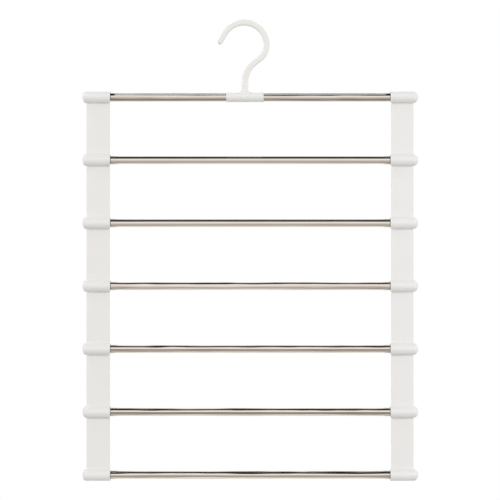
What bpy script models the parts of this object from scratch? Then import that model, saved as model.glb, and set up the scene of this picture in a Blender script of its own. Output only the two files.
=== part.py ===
"""A seven tier trouser hanger, in metres, +Z up, the front towards -Y.

A moulded hook slides and turns on the top tube by its sleeve. Each further tube hangs from the one above
it by two moulded links. The eye at a link's top rides on the tube above, inside that tube's end barrel,
and its neck leaves the barrel through a slot, whose edges stop the swing. The origin is the rail seat,
the inside of the hook's crown.
"""

import math

import bmesh
import bpy
from mathutils import Matrix

# Tiers
TIER_COUNT = 7
TIER_PITCH = 0.0675
BAR_SPAN = 0.300

# Clearances
RUNNING_GAP = 0.00025
SEAT_GAP = 0.0003
CUT_OVERRUN = 0.002
WELD_DISTANCE = 0.000001

# Tubes
TUBE_RADIUS = 0.0045
TUBE_WALL = 0.0005

# Barrels at the ends of each tube
BARREL_LENGTH = 0.030
BARREL_WALL = 0.0008
BARREL_EDGE = 0.0004
DOME_DEPTH = 0.0054
DOME_NOSE = 0.004
SOCKET_GRIP = 0.0077

# Links
EYE_WALL = 0.0007
NECK_THICKNESS = 0.0016
NECK_INSET = 0.0005
NECK_ROOT = 0.001
PLATE_THICKNESS = 0.0026
PLATE_INNER_INSET = 0.001
PLATE_OUTER_INSET = 0.0043
PLATE_EDGE = 0.0005
FLARE_RADIUS = 0.003

# Swing of each link, in degrees, from hanging straight down
FRONT_SWING = 8
REAR_SWING = 45

# Hook
HOOK_OFFSET = 0.0058
SLEEVE_LENGTH = 0.040
SLEEVE_WALL = 0.0005
SLEEVE_EDGE = 0.0004
FOOT_FILLET = 0.0028
FOOT_DEPTH_SHARE = 0.4
STEM_RADIUS = 0.00375
STEM_LENGTH = 0.00725
NECK_BEND = 0.028
LEAN_ANGLE = 52
REACH_LENGTH = 0.0072
SHOULDER_BEND = 0.018
BOW_RADIUS = 0.0241
ROD_RADIUS = 0.0032
CROWN_ANGLE = 90
CURL_ANGLE = 61
CURL_ROD_RADIUS = 0.003
TIP_LENGTH = 0.0095
TIP_RADIUS = 0.00285

# Facets
ROUND_SIDES = 24
ROD_SIDES = 14
DOME_STEPS = 4
CORNER_STEPS = 2
SLOT_STEPS = 3
FLARE_STEPS = 3
BEND_STEP = 13
TIP_STEPS = 3
TIP_LAST_ANGLE = 80
SMOOTH_ANGLE = 35

# Colours, linear, with roughness and metallic
LINK_PLASTIC = ((0.79, 0.785, 0.77), 0.38, 0.0)
HOOK_PLASTIC = ((0.81, 0.805, 0.79), 0.38, 0.0)
CAP_PLASTIC = ((0.80, 0.79, 0.775), 0.38, 0.0)
TUBE_STEEL = ((0.70, 0.67, 0.63), 0.09, 1.0)

# Sizes that follow
TUBE_BORE = TUBE_RADIUS + RUNNING_GAP
EYE_RADIUS = TUBE_BORE + EYE_WALL
BARREL_BORE = EYE_RADIUS + RUNNING_GAP
BARREL_RADIUS = BARREL_BORE + BARREL_WALL
SOCKET_END = BARREL_LENGTH - DOME_NOSE
BEARING_END = SOCKET_END - SOCKET_GRIP
TUBE_LENGTH = BAR_SPAN + 2 * (SOCKET_END - SEAT_GAP)
PLATE_INNER = PLATE_INNER_INSET
PLATE_OUTER = BARREL_LENGTH - PLATE_OUTER_INSET
EYE_START = PLATE_INNER
EYE_END = BEARING_END - SEAT_GAP
SHOULDER_DROP = BARREL_RADIUS + SEAT_GAP
SLEEVE_RADIUS = TUBE_BORE + SLEEVE_WALL
FOOT_TOP = SLEEVE_RADIUS + FOOT_FILLET
NECK_ANGLE = math.degrees(math.asin((NECK_THICKNESS / 2 + RUNNING_GAP) / BARREL_BORE))

# The hook's rod above its foot: straight length, bend radius, turn to the right and rod radius at the end.
# The crown, whose inside is the rail seat, ends the run numbered here from 0.
HOOK_RUNS = (
    (STEM_LENGTH, 0, 0, STEM_RADIUS),
    (0, NECK_BEND, LEAN_ANGLE, ROD_RADIUS),
    (REACH_LENGTH, 0, 0, ROD_RADIUS),
    (0, SHOULDER_BEND, -LEAN_ANGLE, ROD_RADIUS),
    (0, BOW_RADIUS, -CROWN_ANGLE, ROD_RADIUS),
    (0, BOW_RADIUS, -CURL_ANGLE, CURL_ROD_RADIUS),
    (TIP_LENGTH, 0, 0, TIP_RADIUS),
)
CROWN_RUN = 4


def clear_scene():
    """Removes whatever the scene holds."""
    for item in list(bpy.data.objects):
        bpy.data.objects.remove(item, do_unlink=True)


def finished_mesh(name, bm):
    """Turns a bmesh into a mesh whose faces point out."""
    bmesh.ops.recalc_face_normals(bm, faces=bm.faces)
    mesh = bpy.data.meshes.new(name)
    bm.to_mesh(mesh)
    bm.free()
    return mesh


def turned(name, profile, hollow=False):
    """Turns (along, radius) points round the X axis, with a facet on top; a hollow profile is a loop."""
    bm = bmesh.new()
    start = math.pi / ROUND_SIDES
    side, up = math.sin(start), math.cos(start)
    points = [bm.verts.new((along, radius * side, radius * up)) for along, radius in profile]
    edges = [bm.edges.new(pair) for pair in zip(points, points[1:])]
    if hollow:
        edges.append(bm.edges.new((points[-1], points[0])))
    bmesh.ops.spin(
        bm,
        geom=points + edges,
        cent=(0, 0, 0),
        axis=(1, 0, 0),
        angle=math.tau,
        steps=ROUND_SIDES,
        use_merge=True,
    )
    bmesh.ops.remove_doubles(bm, verts=bm.verts, dist=WELD_DISTANCE)
    bmesh.ops.holes_fill(bm, edges=bm.edges)
    return finished_mesh(name, bm)


def lofted(name, loops):
    """Skins a row of loops, each with as many points as the next, and fills both ends."""
    bm = bmesh.new()
    rings = [[bm.verts.new(point) for point in loop] for loop in loops]
    for low, high in zip(rings, rings[1:]):
        for here in range(len(low)):
            following = (here + 1) % len(low)
            bm.faces.new((low[here], low[following], high[following], high[here]))
    bm.faces.new(rings[0])
    bm.faces.new(rings[-1])
    return finished_mesh(name, bm)


def combined(name, base, added, cut):
    """Joins some solids to a base, then cuts others from it."""
    item = bpy.data.objects.new(name, base)
    bpy.context.scene.collection.objects.link(item)
    helpers = []
    for operation, meshes in (("UNION", added), ("DIFFERENCE", cut)):
        for mesh in meshes:
            helper = bpy.data.objects.new(mesh.name, mesh)
            bpy.context.scene.collection.objects.link(helper)
            helpers.append(helper)
            modifier = item.modifiers.new(mesh.name, "BOOLEAN")
            modifier.operation = operation
            modifier.solver = "EXACT"
            modifier.object = helper
    depsgraph = bpy.context.evaluated_depsgraph_get()
    mesh = bpy.data.meshes.new_from_object(item.evaluated_get(depsgraph))
    mesh.name = name
    for helper in [item, *helpers]:
        bpy.data.objects.remove(helper, do_unlink=True)
    return mesh


def mirrored(name, mesh):
    """Copies a mesh to the other side of its YZ plane."""
    other = mesh.copy()
    other.name = name
    other.transform(Matrix.Scale(-1, 4, (1, 0, 0)))
    other.flip_normals()
    return other


def rod(name, start, end, radius):
    """Makes a plain round rod or cutter along X."""
    return turned(name, [(start, radius), (end, radius)])


def tube():
    """Makes one steel tube, centred on its own axis."""
    half = TUBE_LENGTH / 2
    inner = TUBE_RADIUS - TUBE_WALL
    profile = [(-half, TUBE_RADIUS), (half, TUBE_RADIUS), (half, inner), (-half, inner)]
    return turned("tube", profile, hollow=True)


def barrel_body():
    """Makes a barrel before its bores: flat at x = 0, domed at its outer end."""
    dome_start = BARREL_LENGTH - DOME_DEPTH
    profile = [(0, BARREL_RADIUS - BARREL_EDGE), (BARREL_EDGE, BARREL_RADIUS)]
    for step in range(DOME_STEPS + 1):
        angle = math.pi / 2 * step / DOME_STEPS
        along = dome_start + DOME_DEPTH * math.sin(angle)
        profile.append((along, BARREL_RADIUS * math.cos(angle)))
    return turned("barrel", profile)


def slot_cutter():
    """Makes the wedge that opens a barrel's underside as far as the neck swings."""
    front = -(FRONT_SWING + NECK_ANGLE)
    rear = REAR_SWING + NECK_ANGLE
    reach = BARREL_RADIUS + CUT_OVERRUN
    outline = [(0, 0)]
    for step in range(SLOT_STEPS + 1):
        angle = math.radians(front + (rear - front) * step / SLOT_STEPS)
        outline.append((reach * math.sin(angle), -reach * math.cos(angle)))
    ends = (-CUT_OVERRUN, BEARING_END)
    return lofted("slot", [[(x, y, z) for y, z in outline] for x in ends])


def barrel_cuts(holds_link):
    """Makes a barrel's cutters: the tube's socket and, where a link hangs there, its bearing and slot."""
    if not holds_link:
        return [rod("socket", -CUT_OVERRUN, SOCKET_END, TUBE_BORE)]
    profile = [
        (-CUT_OVERRUN, BARREL_BORE),
        (BEARING_END, BARREL_BORE),
        (BEARING_END, TUBE_BORE),
        (SOCKET_END, TUBE_BORE),
    ]
    return [turned("bearing", profile), slot_cutter()]


def top_cap():
    """Makes the barrel that ends the top tube."""
    return combined("top_cap", barrel_body(), [], barrel_cuts(True))


def plate_section(half_depth, outer, outer_corner, z):
    """Gives a level section of the plate, with its own corner radius at the outer edge."""
    corners = (
        (outer - outer_corner, half_depth - outer_corner, outer_corner, 0),
        (PLATE_INNER + PLATE_EDGE, half_depth - PLATE_EDGE, PLATE_EDGE, 90),
        (PLATE_INNER + PLATE_EDGE, PLATE_EDGE - half_depth, PLATE_EDGE, 180),
        (outer - outer_corner, outer_corner - half_depth, outer_corner, 270),
    )
    loop = []
    for x, y, radius, start in corners:
        for step in range(CORNER_STEPS + 1):
            angle = math.radians(start + 90 * step / CORNER_STEPS)
            loop.append((x + radius * math.cos(angle), y + radius * math.sin(angle), z))
    return loop


def plate():
    """Makes a link's plate, flaring at its foot into the barrel that it carries."""
    half = PLATE_THICKNESS / 2
    centres = BARREL_RADIUS + FLARE_RADIUS
    flare_top = math.sqrt(centres**2 - (half + FLARE_RADIUS) ** 2)
    last_angle = math.asin(flare_top / centres)
    loops = [plate_section(half, PLATE_OUTER, PLATE_EDGE, -SHOULDER_DROP)]
    for step in range(FLARE_STEPS + 1):
        share = step / FLARE_STEPS
        growth = FLARE_RADIUS * (1 - math.cos(last_angle * share))
        corner = PLATE_EDGE + (half - PLATE_EDGE) * share + growth * share
        z = flare_top - FLARE_RADIUS * math.sin(last_angle * share) - TIER_PITCH
        loops.append(plate_section(half + growth, PLATE_OUTER + growth, corner, z))
    loops.append([(x, y, -TIER_PITCH) for x, y, _ in loops[-1]])
    return lofted("plate", loops)


def neck():
    """Makes the thin web that joins a link's eye to its plate through the slot."""
    half = NECK_THICKNESS / 2
    ends = (EYE_START + NECK_INSET, EYE_END - NECK_INSET)
    outline = [(ends[0], -half), (ends[1], -half), (ends[1], half), (ends[0], half)]
    levels = (0, -SHOULDER_DROP - NECK_ROOT)
    return lofted("neck", [[(x, y, z) for x, y in outline] for z in levels])


def link(holds_link):
    """Makes one link of the right side, with its origin on the tube above."""
    lowered = Matrix.Translation((0, 0, -TIER_PITCH))
    barrel = barrel_body()
    barrel.transform(lowered)
    cuts = barrel_cuts(holds_link)
    for cut in cuts:
        cut.transform(lowered)
    eye = rod("eye", EYE_START, EYE_END, EYE_RADIUS)
    cuts.append(rod("eye_bore", EYE_START - CUT_OVERRUN, EYE_END + CUT_OVERRUN, TUBE_BORE))
    return combined("link", plate(), [barrel, neck(), eye], cuts)


def hook_run(start, run):
    """Follows one run of the hook's rod: gives (x, z, heading, rod radius) at the end of each step."""
    length, bend, turn, end_radius = run
    x, z, heading, start_radius = start
    steps = max(1, round(abs(turn) / BEND_STEP))
    signed_bend = math.copysign(bend, turn)
    stations = []
    for step in range(1, steps + 1):
        share = step / steps
        angle = heading + math.radians(turn) * share
        ahead = length * share
        along_x = ahead * math.sin(heading) + signed_bend * (math.cos(heading) - math.cos(angle))
        along_z = ahead * math.cos(heading) + signed_bend * (math.sin(angle) - math.sin(heading))
        radius = start_radius + (end_radius - start_radius) * share
        stations.append((x + along_x, z + along_z, angle, radius))
    return stations


def hook_stations():
    """Gives the rod's stations from its foot to its tip, and the place of the crown among them."""
    stations = [(0, FOOT_TOP, 0, STEM_RADIUS)]
    crown = None
    for number, run in enumerate(HOOK_RUNS):
        stations += hook_run(stations[-1], run)
        if number == CROWN_RUN:
            crown = stations[-1]
    x, z, heading, radius = stations[-1]
    for step in range(1, TIP_STEPS + 1):
        angle = math.radians(TIP_LAST_ANGLE * step / TIP_STEPS)
        along = radius * math.sin(angle)
        place = (x + along * math.sin(heading), z + along * math.cos(heading))
        stations.append((*place, heading, radius * math.cos(angle)))
    return stations, crown


def rod_ring(x, z, heading, half_width, half_depth):
    """Gives the ring of points round one station of the hook's rod."""
    ring = []
    for side in range(ROD_SIDES):
        angle = math.tau * side / ROD_SIDES
        across = half_width * math.cos(angle)
        along_x = across * math.cos(heading)
        along_z = -across * math.sin(heading)
        ring.append((x + along_x, half_depth * math.sin(angle), z + along_z))
    return ring


def foot_rings():
    """Gives the rings of the stem's foot, rooted in the sleeve and wider along it than across it."""
    rings = []
    for step in range(FLARE_STEPS):
        angle = math.pi / 2 * step / FLARE_STEPS
        growth = FOOT_FILLET * (1 - math.sin(angle))
        z = FOOT_TOP - FOOT_FILLET * math.cos(angle)
        rings.append(rod_ring(0, z, 0, STEM_RADIUS + growth, STEM_RADIUS + growth * FOOT_DEPTH_SHARE))
    root = [(x, y, 0) for x, y, _ in rings[0]]
    return [root, *rings]


def hook():
    """Makes the hook and its sleeve, with the origin on the top tube's axis."""
    rings = foot_rings()
    rings += [rod_ring(x, z, heading, radius, radius) for x, z, heading, radius in hook_stations()[0]]
    half = SLEEVE_LENGTH / 2
    rim = SLEEVE_RADIUS - SLEEVE_EDGE
    flat = half - SLEEVE_EDGE
    sleeve = turned("sleeve", [(-half, rim), (-flat, SLEEVE_RADIUS), (flat, SLEEVE_RADIUS), (half, rim)])
    bore = rod("sleeve_bore", -half - CUT_OVERRUN, half + CUT_OVERRUN, TUBE_BORE)
    return combined("hook", sleeve, [lofted("rod", rings)], [bore])


def finish(name, looks):
    """Makes a material from a colour, a roughness and a metallic value."""
    colour, roughness, metallic = looks
    material = bpy.data.materials.new(name)
    material.use_nodes = True
    shader = material.node_tree.nodes["Principled BSDF"]
    shader.inputs["Base Color"].default_value = (*colour, 1)
    shader.inputs["Roughness"].default_value = roughness
    shader.inputs["Metallic"].default_value = metallic
    return material


def placed(name, data, parent, location):
    """Puts a piece or an axis, which has no data, at a place under its parent."""
    item = bpy.data.objects.new(name, data)
    bpy.context.scene.collection.objects.link(item)
    item.parent = parent
    item.location = location
    return item


def dressed(mesh, material):
    """Gives a mesh its material and smooth round faces."""
    mesh.materials.clear()
    mesh.materials.append(material)
    mesh.shade_smooth()
    mesh.set_sharp_from_angle(angle=math.radians(SMOOTH_ANGLE))
    return mesh


def pair(name, mesh, parent, number=""):
    """Places a right piece and its mirrored left twin at the two ends of a tube."""
    placed(f"{name}_right{number}", mesh, parent, (BAR_SPAN / 2, 0, 0))
    placed(f"{name}_left{number}", mirrored(f"{name}_left", mesh), parent, (-BAR_SPAN / 2, 0, 0))


def build():
    """Builds the whole hanger, from the hook down."""
    clear_scene()
    steel = finish("tube_steel", TUBE_STEEL)
    tube_mesh = dressed(tube(), steel)
    cap_mesh = dressed(top_cap(), finish("cap_plastic", CAP_PLASTIC))
    link_plastic = finish("link_plastic", LINK_PLASTIC)
    middle_link = dressed(link(True), link_plastic)
    last_link = dressed(link(False), link_plastic)
    hook_mesh = dressed(hook(), finish("hook_plastic", HOOK_PLASTIC))

    crown_x, crown_z, _, crown_radius = hook_stations()[1]
    seat_height = crown_z - crown_radius
    hook_piece = placed("hook", hook_mesh, None, (-crown_x, 0, -seat_height))

    bar_axis = placed("top_bar_axis", None, hook_piece, (HOOK_OFFSET, 0, 0))
    placed("tube_1", tube_mesh, bar_axis, (0, 0, 0))
    axis = placed("top_caps_axis", None, bar_axis, (0, 0, 0))
    pair("top_cap", cap_mesh, axis)
    drop = 0
    for tier in range(2, TIER_COUNT + 1):
        axis = placed(f"tier_{tier}_axis", None, axis, (0, 0, drop))
        drop = -TIER_PITCH
        placed(f"tube_{tier}", tube_mesh, axis, (0, 0, drop))
        pair("link", middle_link if tier < TIER_COUNT else last_link, axis, f"_{tier}")


build()
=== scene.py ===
"""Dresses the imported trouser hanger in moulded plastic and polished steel, in a plain white studio.

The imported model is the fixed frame. It gives the place and the outer size of every piece, and the classes
below work their fine shapes out from it and from sizes of their own. All lengths are in metres, +Z is up
and the front faces -Y.
"""

from __future__ import annotations

import logging
import math
from dataclasses import dataclass, replace
from enum import Enum
from typing import Any, Iterable, Sequence

import bmesh
import bpy
from bpy.types import Material, Mesh, Node, NodeSocket, NodeTree, Object
from mathutils import Matrix, Vector


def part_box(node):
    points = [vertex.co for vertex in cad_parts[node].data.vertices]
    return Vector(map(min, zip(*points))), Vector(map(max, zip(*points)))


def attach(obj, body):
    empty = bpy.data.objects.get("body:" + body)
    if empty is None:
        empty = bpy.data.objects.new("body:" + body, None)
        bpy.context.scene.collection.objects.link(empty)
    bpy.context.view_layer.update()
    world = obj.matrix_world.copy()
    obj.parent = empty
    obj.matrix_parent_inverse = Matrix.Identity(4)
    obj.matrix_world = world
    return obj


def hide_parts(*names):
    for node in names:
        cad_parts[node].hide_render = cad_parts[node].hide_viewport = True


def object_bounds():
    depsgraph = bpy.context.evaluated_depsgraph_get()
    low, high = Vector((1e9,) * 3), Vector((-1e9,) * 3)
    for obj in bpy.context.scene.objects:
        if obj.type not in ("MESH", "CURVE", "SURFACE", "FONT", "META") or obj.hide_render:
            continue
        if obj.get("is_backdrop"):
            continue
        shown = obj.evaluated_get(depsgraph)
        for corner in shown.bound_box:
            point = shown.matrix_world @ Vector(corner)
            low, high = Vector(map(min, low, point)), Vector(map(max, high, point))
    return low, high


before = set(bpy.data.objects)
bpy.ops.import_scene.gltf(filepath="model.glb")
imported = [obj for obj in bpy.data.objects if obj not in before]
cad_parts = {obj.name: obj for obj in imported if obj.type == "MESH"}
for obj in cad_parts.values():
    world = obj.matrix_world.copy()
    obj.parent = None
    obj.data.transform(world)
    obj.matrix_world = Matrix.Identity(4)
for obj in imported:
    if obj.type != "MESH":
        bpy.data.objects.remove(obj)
cad_low, cad_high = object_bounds()

LOG = logging.getLogger("hanger")
MM = 0.001
MERGE_DISTANCE = 0.001 * MM
# Cutters run past what they cut, and their facets are turned by half a facet against its own.
CUT_OVERRUN = 2 * MM
CUT_PHASE = 0.5
# The gap between steel and plastic where one runs on the other.
RUNNING_GAP = 0.29 * MM
# Heights on the top tube as shares of its radius: the edge of the scuffs at each mouth, and the height
# below which the steel's colour is darker.
SCUFFED_SHARES = (0.15, 0.42)
DARKER_BELOW_SHARE = -0.5
# The height of the waves in tubes 2 and 3.
EVEN_WAVES = 0.15 * MM
# The depth of the flats in tubes 1 to 7, below zero for a ridge.
FLATS = (0.25 * MM, 0.12 * MM, 0.12 * MM, -0.15 * MM, -0.12 * MM, 0.0, 0.05 * MM)
# The steel where it is clean, under haze and under dust.
# The plain steel, the steel under haze, and the painted shade at the barrels' mouths.
STEEL = ("#DBD7D3", "#D7D2CC", "#A29D96")
# The painted dark reflections along the front of tubes 5 to 7.
PAINTED_DARK_BANDS = ("#9E978D", "#8A8278", "#B4ADA3")
# The resins, plain and in the middle of a flow cloud.
PLASTIC = ("#EBEAE9", "#E9E8E6")
HOOK_PLASTIC = ("#ECEBE8", "#EAE9E6")
# A Mix node's two colours go by number, because its two numbers have the same names.
TONE_A, TONE_B = 6, 7

Point = tuple[float, float, float]
Profile = list[tuple[float, float]]
# What can be linked to a node's input.
Source = Node | NodeSocket


class Side(Enum):
    """An end of the hanger, by the sign of its direction along X."""

    LEFT = -1
    RIGHT = 1

    @property
    def word(self) -> str:
        """The side as the frame's node names have it."""
        return self.name.lower()


# For each end, the depth of its barrels' domes, and how far the plates' outer and inner edges lie inside
# the barrels.
ENDS = {
    Side.LEFT: (3.8 * MM, 4.3 * MM, 0.5 * MM),
    Side.RIGHT: (5.3 * MM, 5 * MM, 1 * MM),
}


# Colours and nodes


def linear(hex_colour: str) -> tuple[float, float, float, float]:
    """Turns an sRGB hex colour into a linear one.

    Args:
        hex_colour: the colour as #RRGGBB.

    Returns:
        Linear red, green and blue, and an alpha of 1.
    """
    parts = [int(hex_colour[start : start + 2], 16) / 255 for start in (1, 3, 5)]
    red, green, blue = (c / 12.92 if c <= 0.04045 else ((c + 0.055) / 1.055) ** 2.4 for c in parts)
    return red, green, blue, 1.0


def grey(level: float) -> tuple[float, float, float, float]:
    """Gives a linear grey of some level."""
    return level, level, level, 1.0


def feed(node: Node, inputs: dict[str | int, Any]) -> None:
    """Sets and links the inputs of a node.

    Args:
        node: the node.
        inputs: for each input, by name or number, its fixed value or what is linked to it. That is a socket,
            or a node, which stands for the first of its outputs that is in use.
    """
    for name, value in inputs.items():
        if isinstance(value, Node):
            value = next(output for output in value.outputs if output.enabled)
        if isinstance(value, NodeSocket):
            node.id_data.links.new(value, node.inputs[name])
        else:
            node.inputs[name].default_value = value


def add_node(
    tree: NodeTree,
    kind: str,
    inputs: dict[str | int, Any] | None = None,
    stops: Sequence[tuple[float, Sequence[float]]] = (),
    **settings: Any,
) -> Node:
    """Adds a node with its settings and links.

    Args:
        tree: the node tree that gets the node.
        kind: the node's type name, without the prefix that all of them have.
        inputs: its inputs, in the way of feed.
        stops: for a colour ramp, places from 0 to 1 with their linear colours.
        **settings: properties of the node.

    Returns:
        The new node.
    """
    node = tree.nodes.new(f"ShaderNode{kind}")
    for name, value in settings.items():
        setattr(node, name, value)
    feed(node, inputs or {})
    for number, (place, colour) in enumerate(stops):
        elements = node.color_ramp.elements
        if number == len(elements):
            elements.new(place)
        elements[number].position = place
        elements[number].color = colour
    return node


def new_material(name: str) -> tuple[Material, NodeTree, Node]:
    """Starts a material.

    Args:
        name: the material's name.

    Returns:
        The material, its node tree and its surface shader.
    """
    made = bpy.data.materials.new(name)
    made.use_nodes = True
    return made, made.node_tree, made.node_tree.nodes["Principled BSDF"]


# Finishes


@dataclass(frozen=True)
class MouldedPolypropylene:
    """White polypropylene as it leaves an injection mould.

    Light goes a little way into the resin and comes out again, which softens the shading at every edge. The
    mould's fine grain breaks up reflections, so a lamp shows as a soft spot. The melt's flow leaves faint
    clouds, which keep the flat plates from looking like paper.

    Args:
        name: the material's name.
        colour: the resin's colour.
        clouded: its colour in the middle of a flow cloud.
        roughness: the skin's roughness in the glossiest places.
        matt: its roughness in the most matt places.
        ior: the resin's index of refraction.
        glow: the share of light that goes into the resin.
        glow_depth: how deep that light goes.
        glow_spread: how far its red, green and blue go, as shares of that depth.
        grain: the pitch of the mould's grain.
        grain_layers: how many finer layers the grain has.
        grain_height: the depth of that grain.
        cloud: the size of the melt's flow clouds.
        cloud_layers: how many finer layers they have.
        seam_width: half the width of the mould's parting line, which lies in the plane y = 0.
        seam_height: the height of that line.
    """

    name: str
    colour: str
    clouded: str
    roughness: float = 0.13
    matt: float = 0.2
    ior: float = 1.49
    glow: float = 0.08
    glow_depth: float = 1.2 * MM
    glow_spread: Point = (1.0, 0.9, 0.8)
    grain: float = 1.2 * MM
    grain_layers: float = 2.0
    grain_height: float = 0.002 * MM
    cloud: float = 30 * MM
    cloud_layers: float = 3.0
    seam_width: float = 0.16 * MM
    seam_height: float = 0.05 * MM

    def material(self) -> Material:
        """Builds the plastic's nodes.

        Returns:
            The material.
        """
        made, tree, shader = new_material(self.name)
        place = add_node(tree, "TexCoord").outputs["Object"]
        pattern = {"Vector": place, "Scale": 1 / self.cloud, "Detail": self.cloud_layers}
        clouds = add_node(tree, "TexNoise", pattern)
        tones = [(0.0, linear(self.clouded)), (1.0, linear(self.colour))]
        gloss = {"Value": clouds, "To Min": self.roughness, "To Max": self.matt}
        feed(
            shader,
            {
                "Base Color": add_node(tree, "ValToRGB", {"Fac": clouds}, tones),
                "Roughness": add_node(tree, "MapRange", gloss),
                "Normal": self.relief(tree, place),
                "IOR": self.ior,
                "Subsurface Weight": self.glow,
                "Subsurface Radius": self.glow_spread,
                "Subsurface Scale": self.glow_depth,
            },
        )
        return made

    def relief(self, tree: NodeTree, place: Source) -> Node:
        """Adds the mould's grain and its parting line.

        Args:
            tree: the material's node tree.
            place: the piece's own coordinates.

        Returns:
            The node with the bumped normal.
        """
        # A mould's grain has a pitch of some 0.1 mm. It is drawn coarser so that it shows at all.
        pattern = {"Vector": place, "Scale": 1 / self.grain, "Detail": self.grain_layers}
        grain = add_node(tree, "TexNoise", pattern)
        rough = add_node(tree, "Bump", {"Height": grain, "Distance": self.grain_height, "Strength": 1.0})
        depth = add_node(tree, "SeparateXYZ", {"Vector": place}).outputs["Y"]
        away = add_node(tree, "Math", {0: depth}, operation="ABSOLUTE")
        flank = {"Value": away, "From Min": 0.0, "From Max": self.seam_width, "To Min": 1.0, "To Max": 0.0}
        line = add_node(tree, "MapRange", flank, interpolation_type="SMOOTHSTEP")
        seam = {"Height": line, "Distance": self.seam_height, "Strength": 1.0, "Normal": rough}
        return add_node(tree, "Bump", seam)


@dataclass(frozen=True)
class Pattern:
    """A noise pattern with one size along a tube and another across it.

    Args:
        along: its size along the tube.
        across: its size across it.
        layers: how many finer layers it has.
    """

    along: float
    across: float
    layers: float

    def add(self, tree: NodeTree, place: Source) -> Node:
        """Adds the pattern to a material.

        Args:
            tree: the material's node tree.
            place: the piece's own coordinates.

        Returns:
            The node with the pattern's level.
        """
        scale = (1 / self.along, 1 / self.across, 1 / self.across)
        scaled = add_node(tree, "Mapping", {"Vector": place, "Scale": scale})
        return add_node(tree, "TexNoise", {"Vector": scaled, "Scale": 1.0, "Detail": self.layers})


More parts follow.
